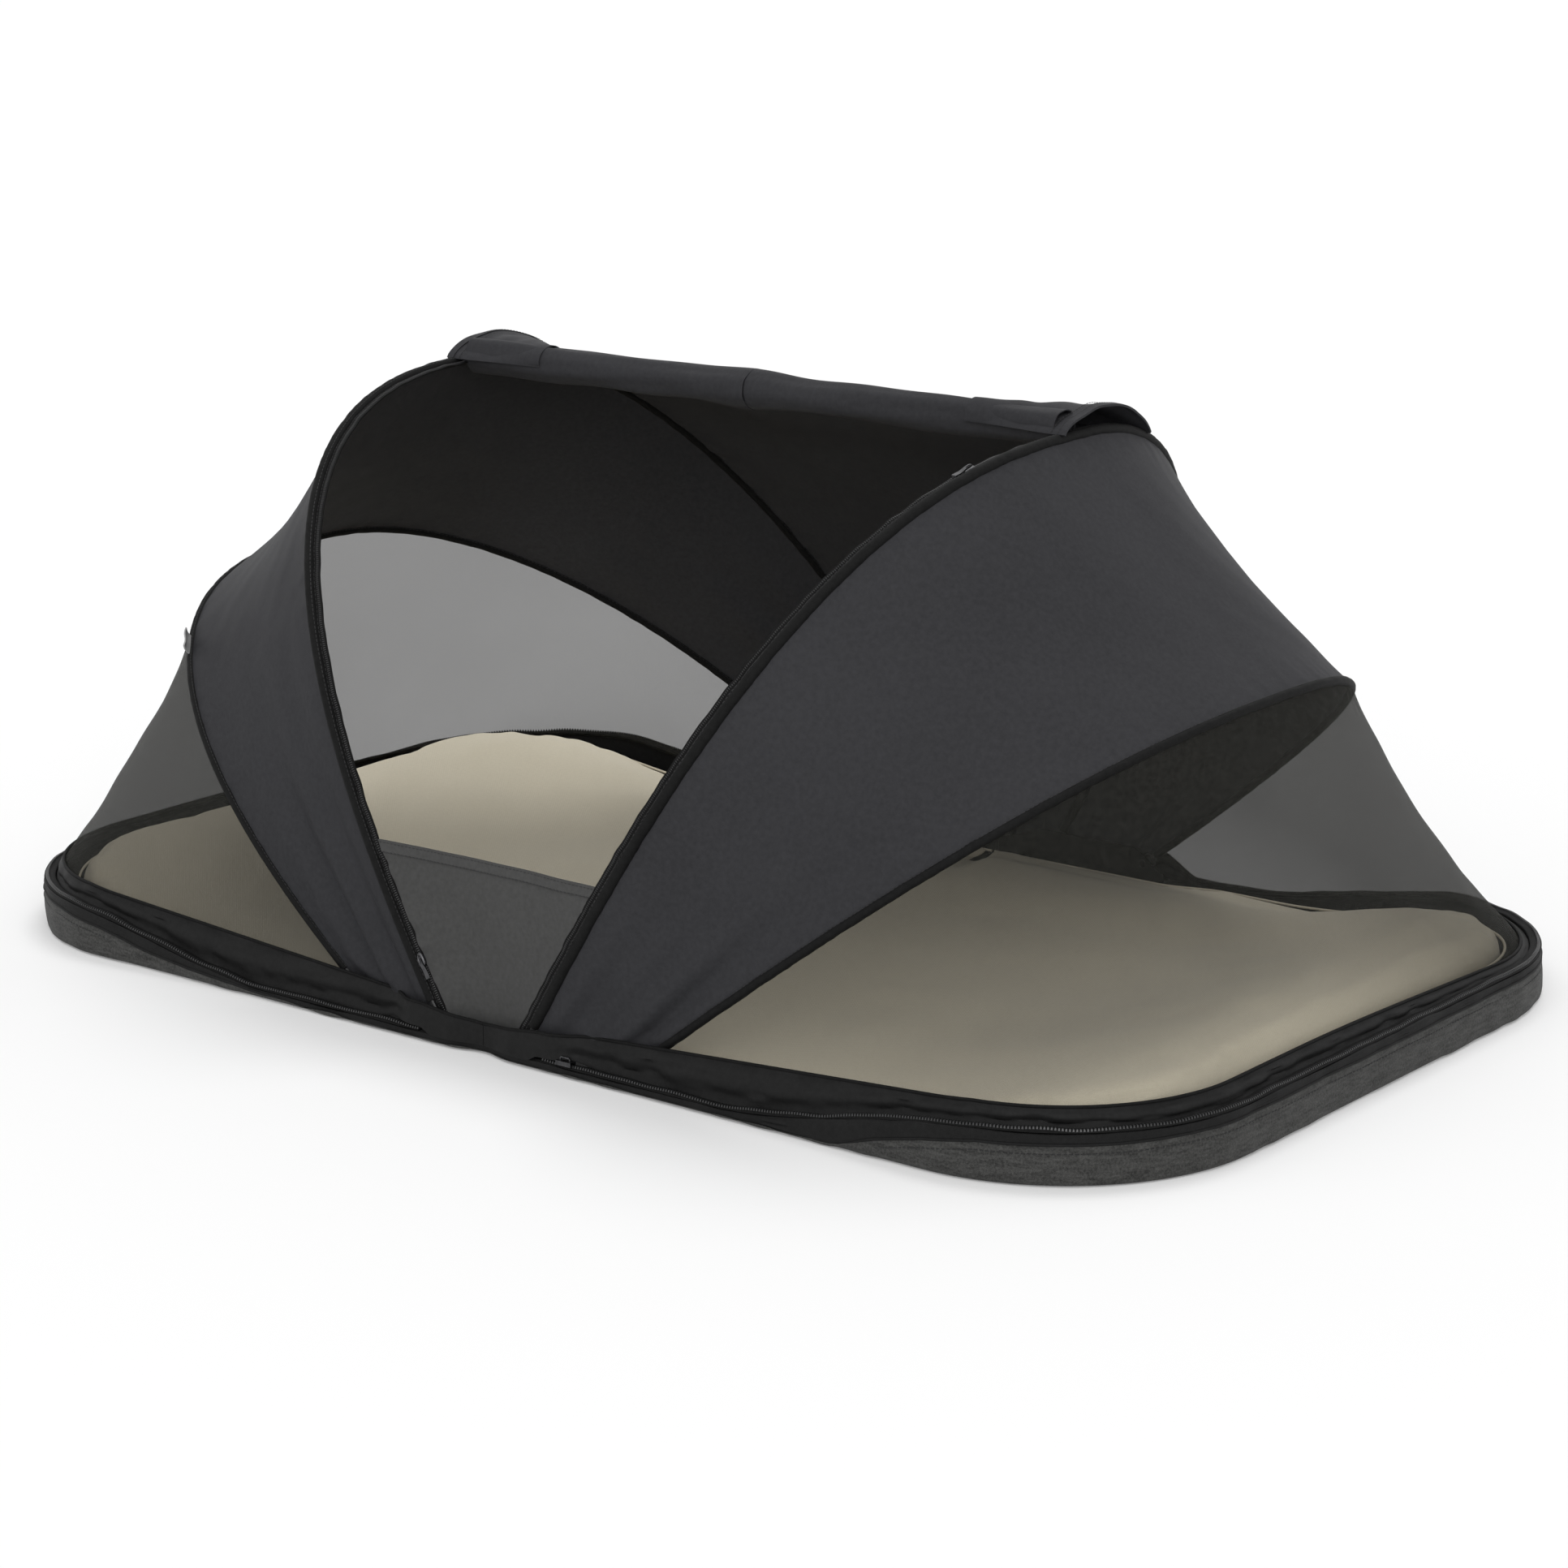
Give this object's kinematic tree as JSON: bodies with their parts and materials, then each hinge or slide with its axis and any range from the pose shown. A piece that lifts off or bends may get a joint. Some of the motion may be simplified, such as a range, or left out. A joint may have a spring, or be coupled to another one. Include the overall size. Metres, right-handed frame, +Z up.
{
  "type": "baby travel tent",
  "caption": "Folding baby travel tent with a hinged two-part tray base, fan-folding hoops, opaque canopy, mesh ends, rolled-up side door and a thin padded mattress.",
  "frame": {"origin": "centre of the floor, on the ground", "axes": "+X along the tent's length, -Y towards the door side, +Z up"},
  "size_m": [1.12, 0.69, 0.4588],
  "materials": {
    "heather_base_fabric": "woven heather polyester over a stiffened wall",
    "floor_board": "stiff floor insert",
    "mattress_cover": "brushed beige polyester",
    "zip_tape": "black woven tape",
    "zip_teeth": "black nylon coil",
    "black_band_fabric": "thin black polyester",
    "canopy_fabric": "charcoal polyester with a soft sheen",
    "sill_fabric": "grey polyester",
    "mosquito_mesh": "fine black insect mesh",
    "fibreglass_rod": "pultruded fibreglass",
    "sleeve_fabric": "black binding",
    "bracket_plastic": "moulded nylon",
    "rivet_steel": "plain steel",
    "slider_metal": "black coated zinc",
    "tag_ribbon": "plain folded ribbon"
  },
  "bodies": {
    "left_base": {"left_base_shell": "heather_base_fabric", "left_floor_board": "floor_board", "left_mattress_half": "mattress_cover", "left_rim_band": "black_band_fabric", "left_case_zip_tape": "zip_tape", "left_case_zip_teeth": "zip_teeth", "left_end_mesh": "mosquito_mesh", "left_front_hinge_bracket": "bracket_plastic", "left_back_hinge_bracket": "bracket_plastic", "left_door_hoop_front_rivet": "rivet_steel", "left_door_hoop_back_rivet": "rivet_steel", "left_end_hoop_front_rivet": "rivet_steel", "left_end_hoop_back_rivet": "rivet_steel", "front_fold_pin": "rivet_steel", "back_fold_pin": "rivet_steel", "waist_gusset": "black_band_fabric"},
    "right_base": {"right_base_shell": "heather_base_fabric", "right_floor_board": "floor_board", "right_mattress_half": "mattress_cover", "right_rim_band": "black_band_fabric", "right_case_zip_tape": "zip_tape", "right_case_zip_teeth": "zip_teeth", "right_end_mesh": "mosquito_mesh", "right_front_hinge_bracket": "bracket_plastic", "right_back_hinge_bracket": "bracket_plastic", "right_door_hoop_front_rivet": "rivet_steel", "right_door_hoop_back_rivet": "rivet_steel", "right_end_hoop_front_rivet": "rivet_steel", "right_end_hoop_back_rivet": "rivet_steel"},
    "left_end_bow": {"left_end_hoop": "fibreglass_rod", "left_end_hoop_sleeve": "sleeve_fabric", "left_canopy_panel": "canopy_fabric", "side_tag": "tag_ribbon"},
    "left_door_bow": {"left_door_hoop": "fibreglass_rod", "left_door_hoop_sleeve": "sleeve_fabric", "left_roof_panel": "canopy_fabric", "left_door_sill": "sill_fabric", "left_door_zip": "zip_tape", "left_door_roll": "canopy_fabric", "left_door_zip_slider": "slider_metal"},
    "right_end_bow": {"right_end_hoop": "fibreglass_rod", "right_end_hoop_sleeve": "sleeve_fabric", "right_canopy_panel": "canopy_fabric"},
    "right_door_bow": {"right_door_hoop": "fibreglass_rod", "right_door_hoop_sleeve": "sleeve_fabric", "right_roof_panel": "canopy_fabric", "right_door_sill": "sill_fabric", "right_door_zip": "zip_tape", "right_door_roll": "canopy_fabric", "right_door_zip_slider": "slider_metal"},
    "front_case_slider": {"front_case_zip_slider": "slider_metal"},
    "back_case_slider": {"back_case_zip_slider": "slider_metal"}
  },
  "joints": [
    {"name": "base_fold", "type": "hinge", "parent": "left_base", "child": "right_base", "pos_m": [0, 0, 0.0245], "axis": [0, -1, 0], "range_deg": [0, 165], "deforming": ["left_canopy_panel", "left_end_mesh", "left_roof_panel", "left_door_sill", "left_door_roll", "left_door_zip", "left_rim_band", "right_canopy_panel", "right_end_mesh", "right_roof_panel", "right_door_sill", "right_door_roll", "right_door_zip", "right_rim_band", "waist_gusset"]},
    {"name": "left_door_hoop_fold", "type": "hinge", "parent": "left_base", "child": "left_door_bow", "pos_m": [-0.04363, 0, 0.02], "axis": [0, -1, 0], "range_deg": [0, 52]},
    {"name": "left_end_hoop_fold", "type": "hinge", "parent": "left_base", "child": "left_end_bow", "pos_m": [-0.14625, 0, 0.024], "axis": [0, -1, 0], "range_deg": [0, 31.35]},
    {"name": "right_door_hoop_fold", "type": "hinge", "parent": "right_base", "child": "right_door_bow", "pos_m": [0.04363, 0, 0.02], "axis": [0, 1, 0], "range_deg": [0, 52]},
    {"name": "right_end_hoop_fold", "type": "hinge", "parent": "right_base", "child": "right_end_bow", "pos_m": [0.14625, 0, 0.024], "axis": [0, 1, 0], "range_deg": [0, 31.35]},
    {"name": "front_case_zip_slide", "type": "slide", "parent": "right_base", "child": "front_case_slider", "axis": [1, 0, 0], "range_m": [0, 0.125]},
    {"name": "back_case_zip_slide", "type": "slide", "parent": "right_base", "child": "back_case_slider", "axis": [1, 0, 0], "range_m": [0, 0.125]}
  ],
  "couplings": [
    {"joint": "left_door_hoop_fold", "follows": "base_fold", "ratio": 0.315},
    {"joint": "left_end_hoop_fold", "follows": "base_fold", "ratio": 0.19},
    {"joint": "right_door_hoop_fold", "follows": "base_fold", "ratio": 0.315},
    {"joint": "right_end_hoop_fold", "follows": "base_fold", "ratio": 0.19}
  ]
}
